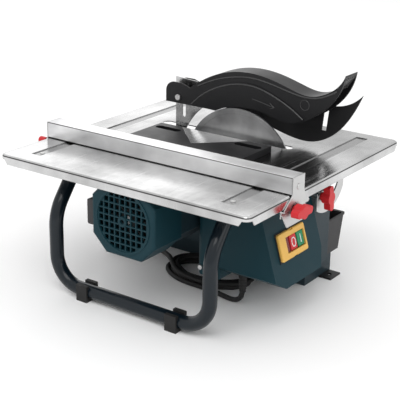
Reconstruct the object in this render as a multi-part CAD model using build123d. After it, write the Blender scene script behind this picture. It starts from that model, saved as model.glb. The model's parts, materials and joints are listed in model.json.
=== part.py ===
from build123d import *
from math import atan2, cos, degrees, hypot, pi, radians, sin, sqrt, tan
import os

# Tile cutter with a tilting steel table. Millimetres, +Z up.
# Origin: on the bench, under the middle of the table. The operator stands at -Y.
# -X is the fence and motor side, +X the water tank side.

# ---- driving dimensions ----
TABLE_X = 387.0
TABLE_Y = 395.0
TABLE_Z = 188.0          # top of the table above the bench
SHEET = 1.5              # table sheet
FLANGE = 13.0            # depth of the folded table edge

DISC_D = 180.0
DISC_T = 2.2
DISC_X = 70.5            # plane of the disc
AXIS_Y = -9.5            # spindle axis
AXIS_Z = TABLE_Z - 50.0
SHAFT_R = 6.0

TILT_X = 42.5            # table tilt axis, along Y
TILT_Z = TABLE_Z - 20.0
STUD_R = 28.0            # locking stud, from the tilt axis
STUD_ANGLE = -130.0
QUAD_Y = 167.5           # inner face of each tilt quadrant
QUAD_T = 2.0

FENCE_X = -86.0
FENCE_W = 27.0
FENCE_H = 22.0
GAP = 0.3                # running gap between bodies

TUBE_D = 19.0
LEG_X = -164.5
LEG_Y = 126.5

PLATE_Y = 157.5          # outer face of the chassis end plates
PLATE_T = 2.0
BULK_X = 15.5            # left face of the motor bulkhead
BASE_BOTTOM = 38.0       # lower edge of the chassis

CORD_D = 7.0
COIL_X, COIL_Y = -3.5, -13.5
COIL_A, COIL_B = 48.0, 72.0    # outer half axes of the oval coil
COIL_W = 21.0                   # width of the bundle of turns
COIL_TOP = 21.5

FRONT = -TABLE_Y / 2
RIGHT = TABLE_X / 2


# ---- helpers ----
def block(x0, x1, y0, y1, z0, z1):
    """Box between two corners."""
    return Pos((x0 + x1) / 2, (y0 + y1) / 2, (z0 + z1) / 2) * Box(x1 - x0, y1 - y0, z1 - z0)


def rod_x(x0, x1, y, z, r):
    """Round bar along X."""
    return Pos((x0 + x1) / 2, y, z) * Rot(0, 90, 0) * Cylinder(r, x1 - x0)


def rod_y(y0, y1, x, z, r):
    """Round bar along Y."""
    return Pos(x, (y0 + y1) / 2, z) * Rot(90, 0, 0) * Cylinder(r, y1 - y0)


def rod_z(z0, z1, x, y, r):
    """Round bar along Z."""
    return Pos(x, y, (z0 + z1) / 2) * Cylinder(r, z1 - z0)


def prism_x(points, x0, x1):
    """Outline in Y, Z carried from x0 to x1."""
    face = make_face(Polyline(*points, close=True))
    return extrude(Plane.YZ.offset(x0) * face, x1 - x0)


def slab_x(edges, x0, x1):
    """Closed outline of edges in Y, Z carried from x0 to x1."""
    return extrude(Plane.YZ.offset(x0) * make_face(edges), x1 - x0)


def prism_y(points, y0, y1):
    """Outline in X, Z carried from y0 to y1."""
    face = make_face(Polyline(*points, close=True))
    plane = Plane(origin=(0, y1, 0), x_dir=(1, 0, 0), z_dir=(0, -1, 0))
    return extrude(plane * face, y1 - y0)


def prism_z(points, z0, z1):
    """Outline in X, Y carried from z0 to z1."""
    face = make_face(Polyline(*points, close=True))
    return extrude(Plane.XY.offset(z0) * face, z1 - z0)


def rear(shape):
    """The same piece at the other end of the machine."""
    return mirror(shape, about=Plane.XZ)


def both_ends(shape):
    return [shape, rear(shape)]


def group(solids):
    """Separate solids that share one node."""
    return Compound(children=[s.solid() if hasattr(s, "solid") else s for s in solids])


def octagon(half_y, half_z, cut):
    """Octagon in Y, Z about the spindle axis."""
    y, z = half_y, half_z
    corners = [(-y, -z + cut), (-y + cut, -z), (y - cut, -z), (y, -z + cut),
               (y, z - cut), (y - cut, z), (-y + cut, z), (-y, z - cut)]
    return [(AXIS_Y + a, AXIS_Z + b) for a, b in corners]


# ---- table ----
GROOVE_X = (-168.0, 171.0)
FRONT_GROOVE = (-160.0, -142.5)
REAR_GROOVE = (147.5, 163.5)
GROOVE_DEPTH = 1.2
SLOT_X = (58.5, 74.0)
SLOT_Y = (-99.0, 120.5)     # long enough for the disc with the table tilted
CORNER = 9.0             # reach of the shallow drawn corner from the table's sides
CORNER_DEPTH = 6.5


def table_top():
    top, under = TABLE_Z, TABLE_Z - FLANGE
    outer = block(-RIGHT, RIGHT, FRONT, -FRONT, under, top)
    outer = fillet(outer.edges().filter_by(Axis.Z), 9)
    outer = fillet(outer.faces().sort_by(Axis.Z)[-1].edges(), 3.5)
    inner = block(-RIGHT + SHEET, RIGHT - SHEET, FRONT + SHEET, -FRONT - SHEET, under - 1, top - SHEET)
    inner = fillet(inner.edges().filter_by(Axis.Z), 7.5)
    inner = fillet(inner.faces().sort_by(Axis.Z)[-1].edges(), 2)
    shell = outer - inner
    for sx in (-1, 1):
        for sy in (-1, 1):
            shell -= flange_gap(sx, sy)
    for y0, y1 in (FRONT_GROOVE, REAR_GROOVE):
        shell += block(GROOVE_X[0] - 1, GROOVE_X[1] + 1, y0 - 1, y1 + 1, top - SHEET - GROOVE_DEPTH, top - SHEET)
        shell -= block(*GROOVE_X, y0, y1, top - GROOVE_DEPTH, top + 1)
    mid = (SLOT_X[0] + SLOT_X[1]) / 2
    half = (SLOT_X[1] - SLOT_X[0]) / 2
    shell -= block(*SLOT_X, SLOT_Y[0] + half, SLOT_Y[1] - half, top - 5, top + 1)
    for y in (SLOT_Y[0] + half, SLOT_Y[1] - half):
        shell -= rod_z(top - 5, top + 1, mid, y, half)
    return shell


def flange_gap(sx, sy):
    """Cut below a drawn corner, which leaves each flange with a slanted end."""
    x, y = sx * RIGHT, sy * -FRONT
    low, high = TABLE_Z - FLANGE - 1, TABLE_Z - CORNER_DEPTH
    slant = CORNER + 5
    along_y = [(y + sy, high), (y - sy * CORNER, high), (y - sy * slant, low), (y + sy, low)]
    along_x = [(x + sx, high), (x - sx * CORNER, high), (x - sx * slant, low), (x + sx, low)]
    inner_x, inner_y = x - sx * 4, y - sy * 4
    end_y = prism_x(along_y, min(x + sx, inner_x), max(x + sx, inner_x))
    end_x = prism_y(along_x, min(y + sy, inner_y), max(y + sy, inner_y))
    corner_x, corner_y = x - sx * CORNER, y - sy * CORNER
    corner = block(min(x, corner_x), max(x, corner_x), min(y, corner_y), max(y, corner_y), low, high)
    return end_x + end_y + corner


def groove_screws():
    """Countersunk stop screw near the -X end of each groove."""
    z = TABLE_Z - GROOVE_DEPTH
    return group([rod_z(z, z + 0.8, GROOVE_X[0] + 12, sum(g) / 2, 3.2)
                  for g in (FRONT_GROOVE, REAR_GROOVE)])


def on_arc(r, angle):
    """Point in X, Z at radius r about the tilt axis."""
    return (TILT_X + r * cos(radians(angle)), TILT_Z + r * sin(radians(angle)))


def quadrant_front():
    """Plate hung from the table, with the arc opening for the locking stud."""
    y1 = -QUAD_Y
    y0 = y1 - QUAD_T
    left, right, under = TILT_X - 27, TILT_X + 43, TABLE_Z - SHEET - 0.02
    disc = rod_y(y0, y1, TILT_X, TILT_Z, 48.5)
    plate = disc & block(left, right, y0, y1, TILT_Z - 60, TILT_Z)
    plate += block(left, right, y0, y1, TILT_Z, under)
    ring = rod_y(y0 - 1, y1 + 1, TILT_X, TILT_Z, STUD_R + 3.5)
    ring -= rod_y(y0 - 1, y1 + 1, TILT_X, TILT_Z, 16)
    wedge = prism_y([(TILT_X, TILT_Z)] + [on_arc(60, a) for a in (-152, -130, -90, -60, -28)], y0 - 1, y1 + 1)
    plate -= ring & wedge
    plate -= rod_y(y0 - 1, y1 + 1, TILT_X, TILT_Z, 4.05)
    return plate + block(left, right, y0 - 11, y0 + 0.5, under - 1.5, under)


def quadrant_rivets():
    z = TABLE_Z - SHEET - 1.5
    front = [rod_z(z - 1.4, z - 0.02, TILT_X + dx, -QUAD_Y - QUAD_T - 6, 3) for dx in (-18, 8, 34)]
    return group(front + [rear(r) for r in front])


# ---- fence and its clamps ----
CLAMP_X = FENCE_X - 7.5
CLAMP_Z = TABLE_Z - 19.0
FENCE_Z = TABLE_Z + GAP


def fence_rail():
    x0, x1 = FENCE_X - FENCE_W / 2, FENCE_X + FENCE_W / 2
    top = FENCE_Z + FENCE_H
    bar = block(x0, x1, FRONT, -FRONT, FENCE_Z, top)
    bar = fillet(bar.edges().filter_by(Axis.Y), 1.5)
    bar -= block(x0 + 1.8, x1 - 1.8, FRONT - 1, -FRONT + 1, FENCE_Z + 1.8, top - 1.8)
    return bar - block(x0 + 7, x1 - 7, FRONT - 1, -FRONT + 1, FENCE_Z - 1, FENCE_Z + 3)


def fence_bracket_front():
    """End plate: strap on the rail end, flared below the table, folded under the flange."""
    t = 1.5
    y1 = FRONT - GAP
    y0 = y1 - t
    x0, x1 = FENCE_X - FENCE_W / 2, FENCE_X + FENCE_W / 2
    low = TABLE_Z - FLANGE - 2.5
    face = [(x0, FENCE_Z + FENCE_H), (x1, FENCE_Z + FENCE_H), (x1, TABLE_Z + 1), (x1 + 14, low),
            (x0 - 19, low), (x0, TABLE_Z)]
    plate = prism_y(face, y0, y1)
    shelf = block(x0 - 18, x1 + 12, y0, FRONT + 4.5, low - t, low)
    y_in, y_out = FRONT + 4.5, FRONT + 0.5
    wing = prism_x([(y_in, low), (y_in, low - 4), (y_out, TABLE_Z - 38), (y_out - t, TABLE_Z - 38),
                    (y_in - t, low - 4), (y_in - t, low)], x0 - 18, x1 + 12)
    taper = prism_y([(x0 - 30, low - 2), (x0 - 18, low - 2), (x0 - 9, TABLE_Z - 39), (x0 - 30, TABLE_Z - 39)],
                    FRONT - 5, FRONT + 6)
    wing -= taper
    dimple = rod_y(y0 - 0.8, y0 + 0.5, FENCE_X, TABLE_Z + 9, 4)
    body = plate + shelf + wing + dimple
    body -= rod_y(FRONT - 5, FRONT + 8, CLAMP_X, CLAMP_Z, 3.1)
    return body - rod_y(FRONT - 5, FRONT + 1.5, CLAMP_X, CLAMP_Z, 9.2)


def clamp_jaw_front():
    """Plate behind the flange, drawn against it by the stud."""
    y0, y1 = FRONT + 5.2, FRONT + 6.8
    x0, x1 = CLAMP_X - 20, CLAMP_X + 26
    jaw = block(x0, x1, y0, y1, CLAMP_Z - 8, TABLE_Z - 5)
    jaw += block(x0, x1, FRONT + SHEET + 0.5, y1, TABLE_Z - 6.5, TABLE_Z - 5)
    return jaw - rod_y(y0 - 1, y1 + 1, CLAMP_X, CLAMP_Z, 3.0)


def clamp_stud_front():
    return rod_y(FRONT - 14, FRONT + 10, CLAMP_X, CLAMP_Z, 3.0)


def clamp_washer_front():
    ring = rod_y(FRONT - 0.7, FRONT + 0.6, CLAMP_X, CLAMP_Z, 5.6)
    return ring - rod_y(FRONT - 3, FRONT + 3, CLAMP_X, CLAMP_Z, 3.0)


KNOB_L = 35.0            # across both wings
KNOB_W = 14.0


def wing_knob(x, y_root, z, turn, bore_y, depth=16.0, out=-1):
    """Hub with two wings, on a stud along Y. The bore stops at bore_y."""
    y_tip = y_root + out * depth
    neck = y_root + out * 3.5
    hub = rod_y(min(y_root, neck), max(y_root, neck), x, z, 5.5)
    hub += rod_y(min(neck, y_tip), max(neck, y_tip), x, z, 8.5)
    wings = block(x - KNOB_L / 2, x + KNOB_L / 2, min(neck + out * 2, y_tip), max(neck + out * 2, y_tip),
                  z - 5, z + 5)
    wings = fillet(wings.edges().filter_by(Axis.Y), 4.5)
    waist = rod_y(min(y_root, y_tip) - 1, max(y_root, y_tip) + 1, x, z + 12.5, 6)
    waist += rod_y(min(y_root, y_tip) - 1, max(y_root, y_tip) + 1, x, z - 12.5, 6)
    knob = hub + wings
    knob -= rod_y(min(y_root, bore_y), max(y_root, bore_y), x, z, 3.0 + 0.05)
    centre = Pos(x, 0, z)
    return centre * Rot(0, turn, 0) * Pos(-x, 0, -z) * knob


def fence_knob_front(turn=0):
    return wing_knob(CLAMP_X, FRONT - 1.0, CLAMP_Z, turn, FRONT - 14.3)


# ---- angle guide ----
GUIDE_T = 9.0
GUIDE_Y = 6.5
GUIDE_HALF = 93.0
GUIDE_TIP = 32.0         # x of the edge towards the disc
NOTCH_DEPTH = 56.0


def angle_guide():
    """Flat guide against the fence with a 90 degree notch for a tile's corner."""
    x0 = FENCE_X + FENCE_W / 2 + GAP
    z0 = TABLE_Z + GAP
    y0, y1 = GUIDE_Y - GUIDE_HALF, GUIDE_Y + GUIDE_HALF
    edge = [(x0, y0), (GUIDE_TIP, y0), (GUIDE_TIP, GUIDE_Y - NOTCH_DEPTH), (GUIDE_TIP - NOTCH_DEPTH, GUIDE_Y),
            (GUIDE_TIP, GUIDE_Y + NOTCH_DEPTH), (GUIDE_TIP, y1), (x0, y1)]
    plate = prism_z(edge, z0, z0 + GUIDE_T)
    for side in (-1, 1):
        y = GUIDE_Y + side * 67
        plate -= block(8, 20, y - 15, y + 15, z0 - 1, z0 + GUIDE_T + 1)
        plate -= rod_z(z0 - 1, z0 + GUIDE_T + 1, 14, y - 15, 6)
        plate -= rod_z(z0 - 1, z0 + GUIDE_T + 1, 14, y + 15, 6)
    return plate


# ---- chassis and stand ----
def chassis():
    """Folded sheet: motor bulkhead with an end plate at each end."""
    top = TABLE_Z - 17
    wall = block(BULK_X, BULK_X + PLATE_T, -PLATE_Y, PLATE_Y, BASE_BOTTOM, top)
    wall -= rod_x(BULK_X - 1, BULK_X + 5, AXIS_Y, AXIS_Z, 17.2)
    end = [(BULK_X, BASE_BOTTOM), (74.5, BASE_BOTTOM), (74.5, TABLE_Z - 70), (55, TABLE_Z - 42), (55, top),
           (BULK_X, top)]
    plate = prism_y(end, -PLATE_Y, -PLATE_Y + PLATE_T)
    plate -= rod_y(-PLATE_Y - 1, -PLATE_Y + 5, TILT_X, TILT_Z, 4)
    plate -= rod_y(-PLATE_Y - 1, -PLATE_Y + 5, *on_arc(STUD_R, STUD_ANGLE), 3)
    return wall + plate + rear(plate)


def tilt_pivot_front():
    """Shoulder screw that carries the quadrant, with its spacer."""
    y_plate = -PLATE_Y
    head = rod_y(-QUAD_Y - QUAD_T - 3.5, -QUAD_Y - QUAD_T - 0.3, TILT_X, TILT_Z, 7)
    shank = rod_y(-QUAD_Y - QUAD_T - 1, y_plate + 5, TILT_X, TILT_Z, 4)
    spacer = rod_y(-QUAD_Y + 0.3, y_plate, TILT_X, TILT_Z, 7)
    nut = rod_y(y_plate + PLATE_T, y_plate + PLATE_T + 4, TILT_X, TILT_Z, 7)
    return head + shank + spacer + nut


def tilt_stud_front():
    x, z = on_arc(STUD_R, STUD_ANGLE)
    stud = rod_y(-QUAD_Y - 16, -PLATE_Y + 6, x, z, 3)
    spacer = rod_y(-QUAD_Y + 0.3, -PLATE_Y, x, z, 5)
    nut = rod_y(-PLATE_Y + PLATE_T, -PLATE_Y + PLATE_T + 4, x, z, 5)
    washer = rod_y(-QUAD_Y - QUAD_T - 1.5, -QUAD_Y - QUAD_T - 0.3, x, z, 7)
    return stud + spacer + nut + washer


def tilt_knob_front():
    x, z = on_arc(STUD_R, STUD_ANGLE)
    y = -QUAD_Y - QUAD_T - 1.8
    return wing_knob(x, y, z, 82, y - 12.8, depth=15.0)


def tube_path():
    """One leg: horizontal under the table, sloped, down, and along the bench to the middle."""
    foot = 3.0 + TUBE_D / 2
    high = TABLE_Z - 28
    return [(BULK_X, -LEG_Y, high), (LEG_X + 37, -LEG_Y, high), (LEG_X, -LEG_Y, TABLE_Z - 76),
            (LEG_X, -LEG_Y, foot), (LEG_X, 0, foot)]


def u_frame():
    half = tube_path()
    other = [(x, -y, z) for x, y, z in reversed(half[:-1])]
    radii = [24, 60, 40, 40, 60, 24]
    path = FilletPolyline(*(half[:-1] + other), radius=radii)
    section = Plane(origin=path @ 0, z_dir=path % 0)
    tube = sweep(section * Circle(TUBE_D / 2), path=path)
    bore = sweep(section * Circle(TUBE_D / 2 - 1.5), path=path)
    return tube - bore


def frame_feet():
    """Two saddles pressed over the lower tube."""
    r, t = TUBE_D / 2, 3.0
    feet = []
    for y in (-74, 74):
        foot = block(LEG_X - r - 2.5, LEG_X + r + 2.5, y - 9, y + 9, 0, t + TUBE_D + 1)
        foot -= rod_y(y - 10, y + 10, LEG_X, t + r, r)
        foot -= block(LEG_X - r + 3, LEG_X + r - 3, y - 10, y + 10, t + r, t + TUBE_D + 2)
        feet.append(foot)
    return group(feet)


FOOT_X = (48.5, 120.5)
FOOT_HALF = 138.5        # half length along Y
TAB_X = (87.0, 115.0)
TAB_HOLE_X = 101.0
TAB_HOLE_Y = 148.5
TAB_T = 2.5


def right_foot():
    """Sheet channel under the tank with a drilled tab at each end."""
    x0, x1 = FOOT_X
    top = BASE_BOTTOM - 2
    shell = block(x0, x1, -FOOT_HALF, FOOT_HALF, 0, top)
    shell -= block(x0 + 2, x1 - 2, -FOOT_HALF + 2, FOOT_HALF - 2, -1, top - 2)
    for s in (-1, 1):
        y_end = s * (FOOT_HALF + 20)
        shell += block(*TAB_X, min(s * (FOOT_HALF - 2), y_end), max(s * (FOOT_HALF - 2), y_end), 0, TAB_T)
        shell -= rod_z(-1, 5, TAB_HOLE_X, s * TAB_HOLE_Y, 3.5)
    return shell


def foot_brackets():
    """Angles that carry the chassis plates on the right foot."""
    front = block(58, 74, -PLATE_Y + PLATE_T, -FOOT_HALF + 8, BASE_BOTTOM - 2, BASE_BOTTOM)
    front += block(58, 74, -PLATE_Y + PLATE_T, -PLATE_Y + PLATE_T + 2, BASE_BOTTOM - 2, BASE_BOTTOM + 14)
    return group(both_ends(front))


# ---- motor ----
COVER_X = (-189.8, -133.5)
SHELL_X = (-133.5, -43.5)
GRILLE_R = 40.0
GRILLE_PITCH = 8.6
GRILLE_RIB = 1.8


def grille_holes(x0, x1):
    """Square holes inside the round grille, leaving the hub."""
    side = GRILLE_PITCH - GRILLE_RIB
    cells = None
    for i in range(-5, 6):
        for j in range(-5, 6):
            y, z = i * GRILLE_PITCH, j * GRILLE_PITCH
            if hypot(y, z) > GRILLE_R + side * 0.3 or hypot(y, z) < 6.5:
                continue
            cell = block(x0, x1, AXIS_Y + y - side / 2, AXIS_Y + y + side / 2,
                         AXIS_Z + z - side / 2, AXIS_Z + z + side / 2)
            cells = cell if cells is None else cells + cell
    return cells & rod_x(x0, x1, AXIS_Y, AXIS_Z, GRILLE_R)


def fan_cover():
    x0, x1 = COVER_X
    body = prism_x(octagon(50, 48, 22), x0, x1)
    body = fillet(body.faces().sort_by(Axis.X)[0].edges(), 4)
    body -= prism_x(octagon(47.5, 45.5, 21), x0 + 3, x1 + 1)
    rim = rod_x(x0 - 1, x0 + 1.5, AXIS_Y, AXIS_Z, GRILLE_R + 3.2)
    rim -= rod_x(x0 - 2, x0 + 2, AXIS_Y, AXIS_Z, GRILLE_R)
    body += rim
    body -= grille_holes(x0 - 2, x0 + 4)
    hub = rod_x(x0 - 0.8, x0 + 3, AXIS_Y, AXIS_Z, 6.8)
    body += hub
    return body - rod_x(x0 - 3, x0 + 6, AXIS_Y, AXIS_Z, 3.2)


def stator_shell():
    x0, x1 = SHELL_X
    shell = prism_x(octagon(47, 45, 21), x0, x1)
    shell -= rod_x(x0 + 6, x1 + 1, AXIS_Y, AXIS_Z, 42)
    return shell - rod_x(x0 - 1, x0 + 7, AXIS_Y, AXIS_Z, 11)


def stator_core():
    x0 = SHELL_X[0] + 18
    return rod_x(x0, x0 + 54, AXIS_Y, AXIS_Z, 42) - rod_x(x0 - 1, x0 + 55, AXIS_Y, AXIS_Z, 25)


def stator_windings():
    x0 = SHELL_X[0] + 18
    ends = [rod_x(x0 - 9, x0, AXIS_Y, AXIS_Z, 37) - rod_x(x0 - 10, x0, AXIS_Y, AXIS_Z, 27),
            rod_x(x0 + 54, x0 + 63, AXIS_Y, AXIS_Z, 37) - rod_x(x0 + 54, x0 + 64, AXIS_Y, AXIS_Z, 27)]
    return group(ends)


def end_bell():
    """Cast end of the motor with the nose that passes through the bulkhead."""
    x0 = SHELL_X[1]
    bell = rod_x(x0, x0 + 12, AXIS_Y, AXIS_Z, 44) + rod_x(x0 + 12, BULK_X + 26, AXIS_Y, AXIS_Z, 17)
    bell += rod_x(BULK_X - 6, BULK_X, AXIS_Y, AXIS_Z, 36)
    bell -= rod_x(x0 - 1, x0 + 5, AXIS_Y, AXIS_Z, 40)
    bell -= rod_x(x0 - 1, BULK_X + 19, AXIS_Y, AXIS_Z, 10)
    return bell - rod_x(BULK_X + 10, BULK_X + 27, AXIS_Y, AXIS_Z, 11)


def bearings():
    rings = []
    for x0, x1 in ((SHELL_X[0], SHELL_X[0] + 6), (BULK_X + 18, BULK_X + 26)):
        rings.append(rod_x(x0, x1, AXIS_Y, AXIS_Z, 11) - rod_x(x0 - 1, x1 + 1, AXIS_Y, AXIS_Z, SHAFT_R + 0.05))
    return group(rings)


def motor_screws():
    """Four bolts through the end bell flange into the bulkhead."""
    bolts = []
    for a in (45, 135, 225, 315):
        y, z = AXIS_Y + 29 * cos(radians(a)), AXIS_Z + 29 * sin(radians(a))
        bolts.append(rod_x(BULK_X - 10, BULK_X - 6, y, z, 4))
    return group(bolts)


def capacitor_box():
    box = block(-186, -140, AXIS_Y + 50.2, AXIS_Y + 60.5, AXIS_Z - 17, AXIS_Z + 17)
    return fillet(box.edges().filter_by(Axis.X), 2.5)


# ---- spindle ----
def rotor_shaft():
    shaft = rod_x(-181, DISC_X + 18, AXIS_Y, AXIS_Z, SHAFT_R)
    return chamfer(shaft.edges().filter_by(GeomType.CIRCLE), 0.8)


def rotor_core():
    x0 = SHELL_X[0] + 18
    core = rod_x(x0, x0 + 54, AXIS_Y, AXIS_Z, 24.4)
    core += rod_x(x0 - 3, x0 + 57, AXIS_Y, AXIS_Z, 21)
    return core - rod_x(x0 - 5, x0 + 60, AXIS_Y, AXIS_Z, SHAFT_R)


def cooling_fan():
    x0 = COVER_X[0] + 14
    fan = rod_x(x0, x0 + 16, AXIS_Y, AXIS_Z, 12) + rod_x(x0 + 13, x0 + 16, AXIS_Y, AXIS_Z, 34)
    for k in range(8):
        blade = block(x0, x0 + 13.5, AXIS_Y + 9, AXIS_Y + 34, AXIS_Z - 1, AXIS_Z + 1)
        centre = Pos(0, AXIS_Y, AXIS_Z)
        fan += centre * Rot(k * 45, 0, 0) * Pos(0, -AXIS_Y, -AXIS_Z) * blade
    return fan - rod_x(x0 - 1, x0 + 17, AXIS_Y, AXIS_Z, SHAFT_R)


def inner_flange():
    x1 = DISC_X - DISC_T / 2
    ring = rod_x(x1 - 4, x1, AXIS_Y, AXIS_Z, 20) + rod_x(BULK_X + 27, x1 - 3.5, AXIS_Y, AXIS_Z, 11)
    return ring - rod_x(BULK_X + 20, x1 + 1, AXIS_Y, AXIS_Z, SHAFT_R)


def cutting_disc():
    """Continuous-rim disc: the rim is a little thicker than the core."""
    x0, x1 = DISC_X - DISC_T / 2, DISC_X + DISC_T / 2
    disc = rod_x(x0, x1, AXIS_Y, AXIS_Z, DISC_D / 2)
    for a, b in ((x0 - 1, x0 + 0.3), (x1 - 0.3, x1 + 1)):
        disc -= rod_x(a, b, AXIS_Y, AXIS_Z, DISC_D / 2 - 8) - rod_x(a, b, AXIS_Y, AXIS_Z, 20)
    return disc - rod_x(x0 - 1, x1 + 1, AXIS_Y, AXIS_Z, SHAFT_R)


def outer_flange():
    x0 = DISC_X + DISC_T / 2
    return rod_x(x0, x0 + 3.8, AXIS_Y, AXIS_Z, 20) - rod_x(x0 - 1, x0 + 5, AXIS_Y, AXIS_Z, SHAFT_R)


def arbor_nut():
    x0 = DISC_X + DISC_T / 2 + 3.8
    face = Plane.YZ.offset(x0) * Pos(AXIS_Y, AXIS_Z) * RegularPolygon(8.5, 6, major_radius=False)
    return extrude(face, 8) - rod_x(x0 - 1, x0 + 9, AXIS_Y, AXIS_Z, SHAFT_R)


# ---- switch housing ----
HOUSE_X = (-103.5, 15.5)
HOUSE_Z = (57.0, 172.5)
HOUSE_BACK = -97.5
PANEL_FOOT_Y = -187.0    # front of the panel at its lower edge
PANEL_SLOPE = 0.30       # how far back the panel leans for each unit up
WALL = 2.5


def panel_y(z, inset=0.0):
    return PANEL_FOOT_Y + PANEL_SLOPE * (z - HOUSE_Z[0]) + inset * sqrt(1 + PANEL_SLOPE ** 2)


def house_solid(inset):
    """The housing's outer form, or its hollow when inset by the wall."""
    z0, z1 = HOUSE_Z[0] + inset, HOUSE_Z[1] - inset
    side = [(panel_y(z0, inset), z0), (panel_y(z1, inset), z1), (HOUSE_BACK - inset, z1), (HOUSE_BACK - inset, z0)]
    right = HOUSE_X[1] + (1 if inset else 0)
    form = prism_x(side, HOUSE_X[0] + inset, right)
    left = HOUSE_X[0] - 1
    cut_left = [(left, z0 - 1), (HOUSE_X[0] + 22 + inset, z0 - 1), (left, z0 + 13)]
    cut_right = [(right + 1, z0 - 1), (4 - inset, z0 - 1), (right + 1, z0 + 27)]
    form -= prism_y(cut_left, -260, 0)
    return form - prism_y(cut_right, -260, 0)


def switch_housing():
    shell = house_solid(0) - house_solid(WALL)
    shell -= rod_x(HOUSE_X[0] - 1, HOUSE_X[0] + 5, -LEG_Y, TABLE_Z - 28, TUBE_D / 2 + 0.4)
    shell -= PANEL * block(BODY_X[0] - 0.5, BODY_X[1] + 0.5, -BODY_HALF_H - 0.5, BODY_HALF_H + 0.5, -6, 3)
    return shell


# Frame on the sloped panel: local X along the panel, Y up the slope, Z outwards.
SWITCH_X = -53.0
SWITCH_UP = 50.0
PANEL = Plane(origin=(SWITCH_X, panel_y(HOUSE_Z[0] + SWITCH_UP), HOUSE_Z[0] + SWITCH_UP),
              x_dir=(1, 0, 0), z_dir=(0, -1, PANEL_SLOPE)).location
FRAME_W = 62.0
FRAME_H = 36.0
WINDOW = (-16.5, 27.0)   # across the panel
WINDOW_H = 21.0
STOP_X, START_X = 1.5, 18.5
CAP_HALF_W, CAP_HALF_H = 7.4, 9.6
LENS_X = (-15.5, -7.5)
BODY_X = (-19.5, 28.5)
BODY_HALF_H = 13.5


def switch_gasket():
    pad = block(-FRAME_W / 2 - 1.5, FRAME_W / 2 + 1.5, -FRAME_H / 2 - 1.5, FRAME_H / 2 + 1.5, 0, 1.2)
    return PANEL * (pad - block(BODY_X[0] - 0.4, BODY_X[1] + 0.4, -BODY_HALF_H - 0.4, BODY_HALF_H + 0.4, -1, 2))


def switch_frame():
    frame = block(-FRAME_W / 2, FRAME_W / 2, -FRAME_H / 2, FRAME_H / 2, 1.2, 5)
    frame = fillet(frame.edges().filter_by(Axis.Z), 3)
    frame = chamfer(frame.faces().sort_by(Axis.Z)[-1].edges(), 1)
    frame -= block(*WINDOW, -WINDOW_H / 2, WINDOW_H / 2, 0, 6)
    for y in (-FRAME_H / 2, FRAME_H / 2):
        frame -= block(-4, 4, y - 1.5, y + 1.5, 3, 6)
    return PANEL * frame


def switch_body():
    body = block(*BODY_X, -BODY_HALF_H, BODY_HALF_H, -32, 1.0)
    for x in (STOP_X, START_X):
        body -= block(x - CAP_HALF_W - 0.4, x + CAP_HALF_W + 0.4, -CAP_HALF_H - 0.4, CAP_HALF_H + 0.4, -4.5, 2)
    return PANEL * body


def button(x):
    cap = block(x - CAP_HALF_W, x + CAP_HALF_W, -CAP_HALF_H, CAP_HALF_H, -1.5, 3.6)
    cap = fillet(cap.faces().sort_by(Axis.Z)[-1].edges(), 0.8)
    return PANEL * cap


def stop_button():
    return button(STOP_X)


def start_button():
    return button(START_X)


def switch_lens():
    """Red indicator lens left of the stop button."""
    return PANEL * block(*LENS_X, -CAP_HALF_H, CAP_HALF_H, 1.0, 2.4)


def wiring_block():
    """Rounded terminal housing behind the switch housing."""
    x0, x1 = HOUSE_X[0] + 2, -43.5
    y0, y1 = HOUSE_BACK + 0.05, AXIS_Y - 51
    body = block(x0, x1, y0, y1, 52, HOUSE_Z[1])
    body = fillet(body.edges().filter_by(Axis.Z).sort_by(Axis.X)[:2].sort_by(Axis.Y)[-1], 9)
    inner = block(x0 + 2.5, x1 - 2.5, y0 + 2.5, y1 - 2.5, 54.5, HOUSE_Z[1] + 1)
    return body - inner


def housing_screws():
    """Pan-head screws low on the side of the switch housing and the terminal housing."""
    heads = []
    for y, z in ((HOUSE_BACK + 7, 62), (HOUSE_BACK + 30, 62)):
        heads.append(rod_x(HOUSE_X[0] - 0.3, HOUSE_X[0] + 2, y, z, 3.2))
    return group(heads)


# ---- water tank ----
TANK_X = (21.5, 124.0)
TANK_Y = 157.0
TANK_TOP = TABLE_Z - 97.0
TANK_LOW = BASE_BOTTOM


def tank_loft(inset, z0, z1):
    x0, x1 = TANK_X[0] + inset, TANK_X[1] - inset
    half = TANK_Y - PLATE_T - inset
    taper = 4.0
    faces = []
    for z, t in ((z0, taper), (z1, 0.0)):
        width, length = x1 - x0 - 2 * t, 2 * (half - t)
        face = Plane.XY.offset(z) * Pos((x0 + x1) / 2, 0) * RectangleRounded(width, length, 4)
        faces.append(face)
    return loft(faces)


def water_tank():
    tank = tank_loft(0, TANK_LOW, TANK_TOP) - tank_loft(2.2, TANK_LOW + 2.2, TANK_TOP + 2)
    x0, x1 = TANK_X
    half = TANK_Y - PLATE_T
    rim = block(x0, x1 + 2.5, -half, half, TANK_TOP - 3, TANK_TOP)
    rim = fillet(rim.edges().filter_by(Axis.Z), 4)
    return tank + (rim - tank_loft(2.2, TANK_LOW + 2.2, TANK_TOP + 2))


# ---- riving knife ----
KNIFE_T = 1.8
KNIFE_BACK = 101.5
PIVOT_Y, PIVOT_Z = 85.5, TABLE_Z + 45.0


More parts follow.
